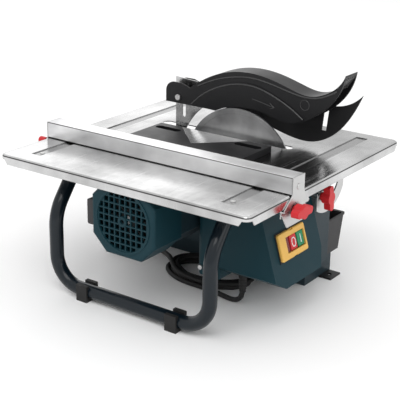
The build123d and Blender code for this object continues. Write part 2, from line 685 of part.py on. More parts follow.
def riving_knife():
    x0, x1 = DISC_X - KNIFE_T / 2, DISC_X + KNIFE_T / 2
    plate = prism_x([(20, AXIS_Z - 12), (KNIFE_BACK, AXIS_Z - 12), (KNIFE_BACK, TABLE_Z + 70),
                     (64, TABLE_Z + 68), (57, TABLE_Z + 46), (20, TABLE_Z + 34)], x0, x1)
    plate -= rod_x(x0 - 1, x1 + 1, AXIS_Y, AXIS_Z, DISC_D / 2 + 13)
    slot = block(x0 - 1, x1 + 1, 84, 90, TABLE_Z + 15, TABLE_Z + 32)
    plate -= slot + rod_x(x0 - 1, x1 + 1, 87, TABLE_Z + 15, 3)
    return plate - rod_x(x0 - 1, x1 + 1, PIVOT_Y, PIVOT_Z, 3)


def knife_bracket():
    """Arm from the bulkhead that holds the knife's foot."""
    x0 = BULK_X + PLATE_T
    x1 = DISC_X - KNIFE_T / 2
    arm = block(x0, x1, 86, 101, AXIS_Z - 9, AXIS_Z + 3)
    arm += block(x0, x0 + 3, 78, 109, AXIS_Z - 16, AXIS_Z + 10)
    return arm


def knife_screws():
    x0, x1 = DISC_X + KNIFE_T / 2, DISC_X + KNIFE_T / 2 + 3.5
    return group([rod_x(x0, x1, y, AXIS_Z - 3, 3.6) for y in (89.5, 97.5)])


# ---- guard ----
GUARD_X = (DISC_X - 16.5, DISC_X + 16.5)
GUARD_T = 2.2


def guard_top_line(drop=0.0):
    """Crown line from the rear dip over the disc to the raised front tip."""
    t = TABLE_Z - drop
    points = [(66, t + 61), (52, t + 71), (24, t + 86), (-20, t + 97), (-55, t + 96), (-97, t + 86),
              (-130, t + 80), (-153, t + 87), (-170, t + 99), (-180, t + 115)]
    return Spline(*points)


def guard_outline():
    """Side outline of the channel, from the crown round to the rear."""
    crown = guard_top_line()
    t = TABLE_Z
    front = Spline(crown @ 1, (-169, t + 84), (-158, t + 70), (-138, t + 54), (-121, t + 44))
    arch = Spline(front @ 1, (-97, t + 39), (-60, t + 46), (-22, t + 48), (4, t + 43), (20, t + 36))
    return crown + front + arch + Polyline(arch @ 1, (66, t + 36), crown @ 0)


def cheek(x0, x1):
    """Rear ear around the pivot screw."""
    t = TABLE_Z
    ear = prism_x([(58, t + 36), (108, t + 36), (108, t + 66), (81, t + 66), (66, t + 61), (58, t + 66)], x0, x1)
    corner = ear.edges().filter_by(Axis.X).sort_by(lambda e: e.center().Y + e.center().Z)[-1]
    ear = fillet(corner, 14)
    return ear - rod_x(x0 - 1, x1 + 1, PIVOT_Y, PIVOT_Z, 3.05)


def guard_cover():
    """Inverted channel over the disc, with a pair of ears at the rear."""
    x0, x1 = GUARD_X
    solid = slab_x(guard_outline(), x0, x1)
    under = guard_top_line(GUARD_T)
    t = TABLE_Z
    low = Polyline(under @ 1, (-190, t + 112.8), (-190, t + 20), (66, t + 20), under @ 0)
    solid -= slab_x(under + low, x0 + GUARD_T, x1 - GUARD_T)
    solid += cheek(x0, x0 + GUARD_T)
    solid += cheek(x1 - GUARD_T, x1)
    return solid - block(DISC_X - 2.3, DISC_X + 2.3, 48, 70, t + 50, t + 90)


def guard_skirt():
    """Raised panel on the fence side of the guard, below the curved ridge."""
    t = TABLE_Z
    ridge = Spline((62, t + 38), (48, t + 53), (24, t + 68), (-12, t + 81), (-50, t + 81), (-80, t + 70),
                   (-104, t + 59), (-121, t + 47))
    low = Spline(ridge @ 1, (-97, t + 39), (-60, t + 46), (-22, t + 48), (4, t + 43), (20, t + 36))
    return slab_x(ridge + low + Line(low @ 1, ridge @ 0), GUARD_X[0] - 1.8, GUARD_X[0])


def guard_shield():
    """Deep outer side wall with its raised tail, on the tank side."""
    t = TABLE_Z
    low = Spline((60, t + 34), (10, t + 30), (-52, t + 17), (-93, t + 8), (-116, t + 8), (-145, t + 20),
                 (-170, t + 46), (-190, t + 84))
    top = Spline(low @ 1, (-176, t + 72), (-163, t + 66), (-148, t + 63), (-120, t + 64))
    close = Polyline(top @ 1, (-60, t + 70), (40, t + 60), low @ 0)
    plate = slab_x(low + top + close, GUARD_X[1], GUARD_X[1] + 2)
    slot = prism_x([(-131, t + 27), (-138, t + 27), (-141, t + 56), (-134, t + 56)], GUARD_X[1] - 1, GUARD_X[1] + 3)
    return plate - slot


def guard_pivot():
    """Screw, spacers and nut that hang the guard on the knife."""
    x0, x1 = GUARD_X
    pin = rod_x(x0 - 2.6, x1 + 3.4, PIVOT_Y, PIVOT_Z, 3)
    pin += rod_x(x0 - 3, x0 - 0.3, PIVOT_Y, PIVOT_Z, 4.2)
    pin += rod_x(x1 + 0.3, x1 + 4, PIVOT_Y, PIVOT_Z, 5)
    for a, b in ((x0 + GUARD_T + 0.3, DISC_X - KNIFE_T / 2), (DISC_X + KNIFE_T / 2, x1 - GUARD_T - 0.3)):
        pin += rod_x(a, b, PIVOT_Y, PIVOT_Z, 5)
    return pin


# ---- mains cord ----
EXIT_X, EXIT_Y, EXIT_Z = -58.5, -105.5, HOUSE_Z[0]
RELIEF_L = 35.0


def strain_relief():
    """Tapered sleeve that points down from the switch housing."""
    low, high = EXIT_Z - RELIEF_L, EXIT_Z
    cone = loft([Plane.XY.offset(z) * Pos(EXIT_X, EXIT_Y) * Circle(r) for z, r in ((low, 4.4), (high, 6.2))])
    cone += rod_z(high - 3, high, EXIT_X, EXIT_Y, 8)
    return cone - rod_z(low - 1, low + 8, EXIT_X, EXIT_Y, CORD_D / 2)


# Route from the strain relief down to the bench and into the outer turn of the coil.
CORD_ROUTE = [
    (-58.5, -105.5, 30.0),
    (-58.5, -105.5, 18.0),
    (-57.6, -99.5, 8.0),
    (-55.8, -87.0, 3.8),
    (-52.8, -70.0, 4.0),
    (-49.6, -54.0, 4.6),
    (-47.8, -40.0, 5.4),
]

# Route from the top of the coil back to the plug.
PLUG_X, PLUG_Y, PLUG_Z = -1.0, 104.0, 16.8
TAIL_ROUTE = [
    (-31.8, 38.6, 17.5),
    (-22.5, 50.5, 15.6),
    (-13.5, 63.0, 13.0),
    (-5.5, 77.5, 13.8),
    (PLUG_X, PLUG_Y - 12, PLUG_Z),
    (PLUG_X, PLUG_Y, PLUG_Z),
]


def bend_radii(points):
    """Largest arc at each corner that its two runs allow."""
    radii = []
    for a, b, c in zip(points, points[1:], points[2:]):
        before, after = Vector(b) - Vector(a), Vector(c) - Vector(b)
        half = radians(before.get_angle(after)) / 2
        radii.append(0.45 * min(before.length, after.length) / tan(half))
    return radii


def cord_tube(points, name):
    radii = bend_radii(points)
    path = FilletPolyline(*points, radius=radii)
    section = Plane(origin=path @ 0, z_dir=path % 0)
    tube = sweep(section * Circle(CORD_D / 2), path=path)
    expected = pi * (CORD_D / 2) ** 2 * path.length
    print(name, "radii", [round(r, 1) for r in radii], "length", round(path.length, 1),
          "volume ratio", round(tube.volume / expected, 4))
    return tube


def power_cord():
    return cord_tube(CORD_ROUTE, "power_cord")


def cord_tail():
    return cord_tube(TAIL_ROUTE, "cord_tail")


def cord_coil():
    """Outer form of the loose oval coil on the bench."""
    low = 0.3
    ring = extrude(Ellipse(COIL_A, COIL_B) - Ellipse(COIL_A - COIL_W, COIL_B - COIL_W), COIL_TOP - low)
    ring = fillet(ring.edges().filter_by(GeomType.LINE, reverse=True), 3)
    return Pos(COIL_X, COIL_Y, low) * ring


def plug():
    """Moulded two-pin plug lying on its side behind the motor."""
    x, y, z = PLUG_X, PLUG_Y, PLUG_Z
    neck, face = y + 26, y + 56
    cone = loft([Plane(origin=(x, b, z), z_dir=(0, 1, 0)) * Circle(r) for b, r in ((y, 4.8), (neck + 1, 10))])
    body = rod_y(neck, face, x, z, 16.5)
    body = chamfer(body.edges().filter_by(GeomType.CIRCLE), 2)
    body += cone
    for dx in (-9.5, 9.5):
        body += rod_y(face - 1, face + 19, x + dx, z, 2.4)
    return body


PARTS = {
    "table_top": table_top, "groove_screws": groove_screws,
    "quadrant_front": quadrant_front, "quadrant_rear": lambda: rear(quadrant_front()),
    "quadrant_rivets": quadrant_rivets,
    "fence_rail": fence_rail,
    "fence_bracket_front": fence_bracket_front, "fence_bracket_rear": lambda: rear(fence_bracket_front()),
    "clamp_jaws": lambda: group(both_ends(clamp_jaw_front())),
    "clamp_studs": lambda: group(both_ends(clamp_stud_front())),
    "clamp_washers": lambda: group(both_ends(clamp_washer_front())),
    "fence_knob_front": fence_knob_front, "fence_knob_rear": lambda: rear(fence_knob_front(-105)),
    "angle_guide": angle_guide,
    "chassis": chassis,
    "tilt_pivots": lambda: group(both_ends(tilt_pivot_front())),
    "tilt_studs": lambda: group(both_ends(tilt_stud_front())),
    "tilt_knob_front": tilt_knob_front, "tilt_knob_rear": lambda: rear(tilt_knob_front()),
    "u_frame": u_frame, "frame_feet": frame_feet, "right_foot": right_foot, "foot_brackets": foot_brackets,
    "fan_cover": fan_cover, "stator_shell": stator_shell, "stator_core": stator_core,
    "stator_windings": stator_windings, "end_bell": end_bell, "bearings": bearings,
    "motor_screws": motor_screws, "capacitor_box": capacitor_box,
    "rotor_shaft": rotor_shaft, "rotor_core": rotor_core, "cooling_fan": cooling_fan,
    "inner_flange": inner_flange, "cutting_disc": cutting_disc, "outer_flange": outer_flange,
    "arbor_nut": arbor_nut,
    "switch_housing": switch_housing, "switch_gasket": switch_gasket, "switch_frame": switch_frame,
    "switch_body": switch_body, "stop_button": stop_button, "start_button": start_button,
    "switch_lens": switch_lens, "wiring_block": wiring_block, "housing_screws": housing_screws,
    "water_tank": water_tank,
    "riving_knife": riving_knife, "knife_bracket": knife_bracket, "knife_screws": knife_screws,
    "guard_cover": guard_cover, "guard_skirt": guard_skirt, "guard_shield": guard_shield,
    "guard_pivot": guard_pivot,
    "strain_relief": strain_relief, "power_cord": power_cord, "cord_coil": cord_coil,
    "cord_tail": cord_tail, "plug": plug,
}

os.makedirs("parts", exist_ok=True)
for name, make in PARTS.items():
    export_step(make(), f"parts/{name}.step")
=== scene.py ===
import json
from math import cos, pi, radians, sin

import bmesh
import bpy
from mathutils import Matrix, Vector


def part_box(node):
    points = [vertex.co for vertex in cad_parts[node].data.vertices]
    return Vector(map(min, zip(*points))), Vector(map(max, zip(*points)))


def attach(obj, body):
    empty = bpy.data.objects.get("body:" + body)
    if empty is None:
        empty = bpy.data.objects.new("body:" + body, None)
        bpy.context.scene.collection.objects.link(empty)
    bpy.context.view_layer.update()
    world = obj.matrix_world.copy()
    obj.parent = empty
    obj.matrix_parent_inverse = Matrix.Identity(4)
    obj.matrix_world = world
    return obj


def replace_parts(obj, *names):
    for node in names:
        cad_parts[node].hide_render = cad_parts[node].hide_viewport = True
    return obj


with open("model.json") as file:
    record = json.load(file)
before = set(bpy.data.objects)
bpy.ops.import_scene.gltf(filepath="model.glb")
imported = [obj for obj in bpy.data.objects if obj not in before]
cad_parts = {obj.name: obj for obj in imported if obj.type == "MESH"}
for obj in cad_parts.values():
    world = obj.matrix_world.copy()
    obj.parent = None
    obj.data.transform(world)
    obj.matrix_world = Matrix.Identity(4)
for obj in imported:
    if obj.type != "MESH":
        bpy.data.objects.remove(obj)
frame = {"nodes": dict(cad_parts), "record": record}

nodes = frame["nodes"]
scene = bpy.context.scene
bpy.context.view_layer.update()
mm = 0.001
print("frame loaded:", len(nodes), "nodes")


# camera and light
cameraLook = {
    "place": (-1.1484, -0.8065, 0.6204),
    "aim": (0.7669, 0.5433, -0.3417),
    "roll": 0.81,
    "lens": 96.6,
}


def makeCamera(look):
    data = bpy.data.cameras.new("camera")
    data.lens, data.sensor_width = look["lens"], 36
    camera = bpy.data.objects.new("camera", data)
    turn = Vector(look["aim"]).to_track_quat("-Z", "Y").to_matrix().to_4x4()
    camera.matrix_world = Matrix.Translation(look["place"]) @ turn @ Matrix.Rotation(radians(look["roll"]), 4, "Z")
    scene.collection.objects.link(camera)
    scene.camera = camera


studio = {
    "skyTop": 0.95,
    "skyLow": 0.85,
    "key": {"place": (-1.3, -0.5, 1.9), "size": 1.4, "watts": 14, "gloss": 0.12},
    "fill": {"place": (-0.3, -2.0, 1.0), "size": 1.2, "watts": 4, "gloss": 0.4},
    "back": {"place": (1.4, 1.6, 1.5), "size": 1.6, "watts": 6, "gloss": 0.2},
}


def makeStudio(look):
    world = bpy.data.worlds.new("studio")
    world.use_nodes = True
    tree = world.node_tree
    place = tree.nodes.new("ShaderNodeTexCoord")
    split = tree.nodes.new("ShaderNodeSeparateXYZ")
    ramp = tree.nodes.new("ShaderNodeMapRange")
    ramp.inputs["From Max"].default_value = 0.8
    ramp.inputs["To Min"].default_value = look["skyLow"]
    ramp.inputs["To Max"].default_value = look["skyTop"]
    tree.nodes["Background"].inputs["Color"].default_value = (1, 1, 1, 1)
    tree.links.new(place.outputs["Generated"], split.inputs[0])
    tree.links.new(split.outputs["Z"], ramp.inputs["Value"])
    tree.links.new(ramp.outputs[0], tree.nodes["Background"].inputs["Strength"])
    scene.world = world
    target = Vector((0, 0, 0.15))
    for name in ("key", "fill", "back"):
        lamp = look[name]
        data = bpy.data.lights.new(name, "AREA")
        data.energy, data.size, data.specular_factor = lamp["watts"], lamp["size"], lamp["gloss"]
        light = bpy.data.objects.new(name, data)
        place = Vector(lamp["place"])
        turn = (target - place).to_track_quat("-Z", "Y").to_matrix().to_4x4()
        light.matrix_world = Matrix.Translation(place) @ turn
        scene.collection.objects.link(light)
    scene.view_settings.view_transform = "Standard"


makeCamera(cameraLook)
makeStudio(studio)
print("camera and light made")


# shared node groups
def newGroup(name, inputs, outputs):
    group = bpy.data.node_groups.new(name, "ShaderNodeTree")
    for label, kind, value in inputs:
        socket = group.interface.new_socket(name=label, in_out="INPUT", socket_type="NodeSocket" + kind)
        if value is not None:
            socket.default_value = value
    for label, kind in outputs:
        group.interface.new_socket(name=label, in_out="OUTPUT", socket_type="NodeSocket" + kind)
    return group, group.nodes.new("NodeGroupInput"), group.nodes.new("NodeGroupOutput")


def addNode(tree, kind, links=(), **values):
    node = tree.nodes.new("ShaderNode" + kind)
    for key, value in values.items():
        setattr(node, key, value)
    for source, target in links:
        tree.links.new(source, node.inputs[target])
    return node


def setValues(node, **values):
    for key, value in values.items():
        node.inputs[key.replace("_", " ")].default_value = value
    return node


def makeEdgeGroup():
    # rounded normal at the folds and edges, and a mask of where they are
    group, top, end = newGroup("softEdge", [("Radius", "Float", 0.0006)], [("Normal", "Vector"), ("Mask", "Float")])
    bevel = addNode(group, "Bevel", [(top.outputs["Radius"], "Radius")], samples=4)
    true = addNode(group, "NewGeometry")
    dot = addNode(group, "VectorMath", [(bevel.outputs[0], 0), (true.outputs["Normal"], 1)], operation="DOT_PRODUCT")
    mask = addNode(group, "MapRange", [(dot.outputs["Value"], "Value")])
    setValues(mask, From_Min=0.995, From_Max=0.80)
    group.links.new(bevel.outputs[0], end.inputs["Normal"])
    group.links.new(mask.outputs[0], end.inputs["Mask"])
    return group


def makeMottleGroup():
    # slow cloudy change over the surface with a fine grain in it
    group, top, end = newGroup("mottle", [("Scale", "Float", 30.0), ("Fine Scale", "Float", 900.0)],
                               [("Cloud", "Float"), ("Grain", "Float")])
    place = addNode(group, "TexCoord")
    cloud = addNode(group, "TexNoise", [(place.outputs["Object"], "Vector"), (top.outputs["Scale"], "Scale")])
    setValues(cloud, Detail=4.0, Roughness=0.6)
    grain = addNode(group, "TexNoise", [(place.outputs["Object"], "Vector"), (top.outputs["Fine Scale"], "Scale")])
    setValues(grain, Detail=2.0, Roughness=0.5)
    group.links.new(cloud.outputs[0], end.inputs["Cloud"])
    group.links.new(grain.outputs[0], end.inputs["Grain"])
    return group


def makeBrushGroup():
    # fine lines drawn along one direction, as rolling or brushing leaves
    group, top, end = newGroup("brushLines", [("Stretch", "Vector", None)], [("Lines", "Float"), ("Broad", "Float")])
    place = addNode(group, "TexCoord")
    scaled = addNode(group, "VectorMath", [(place.outputs["Object"], 0), (top.outputs["Stretch"], 1)],
                     operation="MULTIPLY")
    lines = setValues(addNode(group, "TexNoise", [(scaled.outputs[0], "Vector")]), Scale=1.0, Detail=3.0)
    broad = setValues(addNode(group, "TexNoise", [(scaled.outputs[0], "Vector")]), Scale=0.12, Detail=2.0)
    group.links.new(lines.outputs[0], end.inputs["Lines"])
    group.links.new(broad.outputs[0], end.inputs["Broad"])
    return group


def makeZoneGroup():
    # 1 inside a box about a centre, fading over half a millimetre
    group, top, end = newGroup("zone", [("Centre", "Vector", None), ("Half", "Vector", None)], [("Mask", "Float")])
    place = addNode(group, "TexCoord")
    away = addNode(group, "VectorMath", [(place.outputs["Object"], 0), (top.outputs["Centre"], 1)],
                   operation="SUBTRACT")
    size = addNode(group, "VectorMath", [(away.outputs[0], 0)], operation="ABSOLUTE")
    past = addNode(group, "VectorMath", [(top.outputs["Half"], 0), (size.outputs[0], 1)], operation="SUBTRACT")
    parts = addNode(group, "SeparateXYZ", [(past.outputs[0], 0)])
    least = addNode(group, "Math", [(parts.outputs["X"], 0), (parts.outputs["Y"], 1)], operation="MINIMUM")
    least = addNode(group, "Math", [(least.outputs[0], 0), (parts.outputs["Z"], 1)], operation="MINIMUM")
    mask = addNode(group, "MapRange", [(least.outputs[0], "Value")])
    setValues(mask, From_Min=-0.0002, From_Max=0.0003)
    group.links.new(mask.outputs[0], end.inputs["Mask"])
    return group


zoneGroup = makeZoneGroup()
edgeGroup = makeEdgeGroup()
mottleGroup = makeMottleGroup()
brushGroup = makeBrushGroup()


def useGroup(tree, group):
    node = tree.nodes.new("ShaderNodeGroup")
    node.node_tree = group
    return node


def rgba(colour):
    return (*colour, 1.0)


def finish(name, look):
    # one material: cloudy colour, an edge colour broken up by grain like wear (darker edges are painted reflection
    # lines where a dark edge colour is given, lighter edges are painted highlight otherwise), grain or brushed
    # relief
    material = bpy.data.materials.new(name)
    material.use_nodes = True
    tree = material.node_tree
    shader = tree.nodes["Principled BSDF"]
    metal = look.get("metal", 0.0)
    setValues(shader, Metallic=metal, Coat_Weight=look.get("coat", 0.0), Coat_Roughness=look.get("coatRough", 0.1),
              Specular_IOR_Level=look.get("specular", 0.5))
    mottle = useGroup(tree, mottleGroup)
    setValues(mottle, Scale=look.get("cloud", 25.0), Fine_Scale=look.get("grain", 900.0))
    edge = setValues(useGroup(tree, edgeGroup), Radius=look.get("edge", 0.0006))

    spread = addNode(tree, "MapRange", [(mottle.outputs["Cloud"], "Value")])
    half = look.get("spread", 0.5)
    setValues(spread, From_Min=0.5 - half, From_Max=0.5 + half)
    base = addNode(tree, "Mix", [(spread.outputs[0], 0)], data_type="RGBA")
    base.inputs[6].default_value = rgba(look["colour"])
    base.inputs[7].default_value = rgba(look.get("colourTwo", look["colour"]))
    # painted edge light broken up by grain like wear: a dark edge colour is a painted reflection line, the default
    # lighter colour is a painted highlight
    edgeShadingAndWear = addNode(tree, "Math", [(edge.outputs["Mask"], 0), (mottle.outputs["Grain"], 1)], operation="MULTIPLY")
    amount = addNode(tree, "Math", [(edgeShadingAndWear.outputs[0], 0)], operation="MULTIPLY")
    amount.inputs[1].default_value = look.get("edgeShadingAndWear", 0.5)
    shadedAndWornEdge = addNode(tree, "Mix", [(amount.outputs[0], 0), (base.outputs[2], 6)], data_type="RGBA")
    # default edge colour, lighter than the base: a painted edge highlight
    edgeHighlightColour = tuple(min(1.0, c * 1.8 + 0.02) for c in look["colour"])
    shadedAndWornEdge.inputs[7].default_value = rgba(look.get("edgeShadingColour", edgeHighlightColour))
    colour = shadedAndWornEdge.outputs[2]
    for zone in look.get("zones", ()):
        mask = useGroup(tree, zoneGroup)
        mask.inputs["Centre"].default_value = [c * mm for c in zone["centre"]]
        mask.inputs["Half"].default_value = [h * mm for h in zone["half"]]
        mixed = addNode(tree, "Mix", [(mask.outputs["Mask"], 0), (colour, 6)], data_type="RGBA")
        mixed.inputs[7].default_value = rgba(zone["colour"])
        colour = mixed.outputs[2]
    tree.links.new(colour, shader.inputs["Base Color"])

    height = mottle.outputs["Grain"]
    shine = mottle.outputs["Cloud"]
    if "stretch" in look:
        brush = useGroup(tree, brushGroup)
        brush.inputs["Stretch"].default_value = look["stretch"]
        height, shine = brush.outputs["Lines"], brush.outputs["Broad"]
    rough = addNode(tree, "MapRange", [(shine, "Value")])
    setValues(rough, From_Min=0.3, From_Max=0.7, To_Min=look["rough"][0], To_Max=look["rough"][1])
    tree.links.new(rough.outputs[0], shader.inputs["Roughness"])
    bump = addNode(tree, "Bump", [(height, "Height"), (edge.outputs["Normal"], "Normal")])
    setValues(bump, Strength=look.get("relief", 0.1), Distance=0.0004)
    tree.links.new(bump.outputs[0], shader.inputs["Normal"])
    return material


railLow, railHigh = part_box("fence_rail")


def railEdge(high):
    # middle of the rail's edge on the open side of the table, in millimetres
    return (railLow.x / mm, 0.0, (railHigh.z if high else railLow.z) / mm)


finishes = {
    "polished_steel": {"colour": (0.34, 0.34, 0.34), "colourTwo": (0.74, 0.74, 0.74), "metal": 1.0, "cloud": 7.0,
                       "spread": 0.17, "rough": (0.17, 0.28), "stretch": (25.0, 1600.0, 300.0), "relief": 0.05,
                       # dark edge colour: painted dark reflection lines along the steel's edges
                       "edgeShadingAndWear": 1.7, "edge": 0.0009, "edgeShadingColour": (0.10, 0.10, 0.10),
                       "zones": [
                           # painted dark line just under the top's folded edge: a painted reflection in the crease
                           {"centre": (0, 0, 185.6), "half": (200, 200, 0.8), "colour": (0.07, 0.07, 0.07)},
                           {"centre": (1.5, -151.2, 187), "half": (169.5, 8.7, 0.6), "colour": (0.34, 0.34, 0.34)},
                           {"centre": (1.5, 155.5, 187), "half": (169.5, 8.0, 0.6), "colour": (0.34, 0.34, 0.34)},
                       ]},
    "zinc_plate": {"colour": (0.50, 0.50, 0.50), "colourTwo": (0.66, 0.66, 0.65), "metal": 1.0, "cloud": 60.0,
                   "rough": (0.30, 0.45), "relief": 0.05, "grain": 1500.0},
    "disc_steel": {"colour": (0.44, 0.44, 0.45), "colourTwo": (0.80, 0.80, 0.80), "metal": 1.0, "cloud": 14.0,
                   "spread": 0.2, "rough": (0.30, 0.42), "relief": 0.04, "edgeShadingAndWear": 1.2,
                   # dark edge colour: painted dark reflection lines along the disc's edges
                   "edgeShadingColour": (0.12, 0.12, 0.12)},
    "rail_aluminium": {"colour": (0.60, 0.60, 0.61), "colourTwo": (0.92, 0.92, 0.92), "metal": 1.0, "cloud": 9.0,
                       "spread": 0.18, "rough": (0.28, 0.40), "stretch": (1800.0, 20.0, 1800.0), "relief": 0.06,
                       # dark edge colour: painted dark reflection lines along the rail's edges
                       "edgeShadingAndWear": 1.6, "edge": 0.0008, "edgeShadingColour": (0.12, 0.12, 0.12),
                       "zones": [
                           # painted dark lines on the rail's open side: a painted reflection along the top edge,
                           # painted shade along the bottom edge
                           {"centre": railEdge(high=True), "half": (1.1, 200, 1.1), "colour": (0.10, 0.10, 0.10)},
                           {"centre": railEdge(high=False), "half": (1.1, 200, 1.1), "colour": (0.05, 0.05, 0.05)},
                       ]},
    "cast_alloy": {"colour": (0.35, 0.36, 0.37), "colourTwo": (0.45, 0.45, 0.46), "metal": 1.0,
                   "rough": (0.45, 0.6), "relief": 0.3, "grain": 700.0},
    "teal_paint": {"colour": (0.012, 0.026, 0.034), "colourTwo": (0.018, 0.034, 0.043), "rough": (0.36, 0.48),
                   "relief": 0.10, "grain": 1200.0, "specular": 0.22,
                   "zones": [{"centre": (92, -153, 2), "half": (60, 13.5, 3), "colour": (0.006, 0.006, 0.007)},
                             {"centre": (92, 153, 2), "half": (60, 13.5, 3), "colour": (0.006, 0.006, 0.007)}]},
    "navy_tube": {"colour": (0.002, 0.006, 0.010), "colourTwo": (0.004, 0.009, 0.014), "rough": (0.30, 0.38),
                  "coat": 0.5, "coatRough": 0.08, "relief": 0.04, "specular": 0.12},
    "teal_plastic": {"colour": (0.004, 0.028, 0.038), "colourTwo": (0.007, 0.035, 0.046), "rough": (0.42, 0.55),
                     "relief": 0.14, "grain": 1400.0, "specular": 0.16},
    "black_plastic": {"colour": (0.006, 0.006, 0.007), "colourTwo": (0.010, 0.010, 0.011), "rough": (0.30, 0.42),
                      "relief": 0.08, "grain": 1400.0, "specular": 0.3},
    "charcoal_plastic": {"colour": (0.030, 0.029, 0.031), "colourTwo": (0.040, 0.039, 0.041), "rough": (0.5, 0.62),
                         "relief": 0.14, "grain": 1200.0, "specular": 0.3},
    "red_plastic": {"colour": (0.52, 0.014, 0.020), "colourTwo": (0.60, 0.020, 0.026), "rough": (0.38, 0.50),
                    # lighter edge colour: painted highlight on the edges
                    "relief": 0.08, "specular": 0.35, "edgeShadingColour": (0.75, 0.06, 0.07)},
    "dark_red_lens": {"colour": (0.13, 0.004, 0.006), "colourTwo": (0.17, 0.006, 0.008), "rough": (0.2, 0.3),
                      "relief": 0.02},
    "green_plastic": {"colour": (0.008, 0.17, 0.075), "colourTwo": (0.015, 0.30, 0.12), "rough": (0.4, 0.5),
                      "relief": 0.05, "specular": 0.35},
    "yellow_plastic": {"colour": (0.72, 0.42, 0.085), "colourTwo": (0.80, 0.48, 0.11), "rough": (0.4, 0.5),
                       # lighter edge colour: painted highlight on the edges
                       "relief": 0.06, "specular": 0.35, "edgeShadingColour": (0.9, 0.65, 0.25)},
    "black_rubber": {"colour": (0.012, 0.012, 0.012), "colourTwo": (0.020, 0.020, 0.020), "rough": (0.5, 0.65),
                     "relief": 0.15, "grain": 1600.0, "specular": 0.3},
    "copper_winding": {"colour": (0.45, 0.16, 0.06), "metal": 1.0, "rough": (0.3, 0.5),
                       "stretch": (900.0, 60.0, 60.0), "relief": 0.5},
    "core_steel": {"colour": (0.12, 0.12, 0.12), "metal": 1.0, "rough": (0.4, 0.6),
                   "stretch": (2500.0, 30.0, 30.0), "relief": 0.4},
    "white_mark": {"colour": (0.85, 0.85, 0.83), "rough": (0.4, 0.5), "relief": 0.03},
    # lighter, glossier black for the guard's beads and lip ribs: painted highlight
    "highlight_black": {"colour": (0.030, 0.030, 0.031), "colourTwo": (0.045, 0.045, 0.046), "rough": (0.22, 0.30),
                    "relief": 0.05, "specular": 0.5},
}
materials = {name: finish(name, look) for name, look in finishes.items()}
slotOf = {entry["node"]: entry["material_slot"] for entry in frame["record"]["subparts"]}


def paint(piece, material):
    if piece.type == "CURVE":
        piece.data.materials.clear()
    if not piece.data.materials:
        piece.data.materials.append(material)
    for slot in piece.material_slots:
        slot.link = "OBJECT"
        slot.material = material


for name, node in nodes.items():
    paint(node, materials[slotOf[name]])
print("finishes made:", len(materials))


# mesh helpers
def newPiece(name, points, faces, slotName, body, smooth=True):
    mesh = bpy.data.meshes.new(name)
    mesh.from_pydata([tuple(p) for p in points], [], faces)
    mesh.validate()
    if smooth:
        mesh.polygons.foreach_set("use_smooth", [True] * len(mesh.polygons))
    piece = bpy.data.objects.new(name, mesh)
    scene.collection.objects.link(piece)
    return settle(piece, slotName, body)


def settle(piece, finishName, body):
    paint(piece, materials[finishName])
    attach(piece, body)
    return piece


def turned(name, profile, origin, axis, slotName, body, segments=48):
    # closed profile of (along, radius) turned about an axis
    points, faces = [], []
    side = Vector(axis).orthogonal().normalized()
    other = Vector(axis).cross(side)
    for along, radius in profile:
        for k in range(segments):
            a = 2 * pi * k / segments
            points.append(Vector(origin) + Vector(axis) * along + (side * cos(a) + other * sin(a)) * radius)
    count = len(profile)
    for i in range(count - 1):
        for k in range(segments):
            n = (k + 1) % segments
            faces.append((i * segments + k, i * segments + n, (i + 1) * segments + n, (i + 1) * segments + k))
    faces.append(tuple(range(segments))[::-1])
    faces.append(tuple((count - 1) * segments + k for k in range(segments)))
    return newPiece(name, points, faces, slotName, body)


def bead(name, path, radius, slotName, body, order=3):
    # round bead along a smooth line
    curve = bpy.data.curves.new(name, "CURVE")
    curve.dimensions = "3D"
    curve.bevel_depth, curve.bevel_resolution, curve.use_fill_caps = radius, 3, True
    spline = curve.splines.new("NURBS")
    spline.points.add(len(path) - 1)
    for point, place in zip(spline.points, path):
        point.co = (*place, 1.0)
    spline.order_u = order
    spline.use_endpoint_u = True
    spline.resolution_u = 8
    piece = bpy.data.objects.new(name, curve)
    scene.collection.objects.link(piece)
    return settle(piece, slotName, body)


# mains cord
cordLook = {
    "diameter": 7.0,
    "route": [(-58.5, -105.5, 30.0), (-58.5, -105.5, 18.0), (-57.6, -99.5, 8.0), (-55.8, -87.0, 3.8),
              (-52.8, -70.0, 4.0), (-49.6, -54.0, 4.0), (-47.8, -40.0, 3.9)],
    "tail": [(-31.5, 34.0, 25.9), (-24.5, 47.5, 25.9), (-15.5, 60.0, 24.0), (-7.0, 74.0, 18.0),
             (-1.0, 92.0, 16.8), (-1.0, 104.0, 16.8)],
    "centre": (-3.5, -13.5),
    "outer": (44.3, 68.3),
    "pitch": 7.2,
    "layer": 7.25,
    "floor": 3.75,
    "stepsPerTurn": 20,
    "rise": 70.0,
    "sway": [(0.0, 0.0), (1.6, -1.8), (-0.8, 1.6)],
}


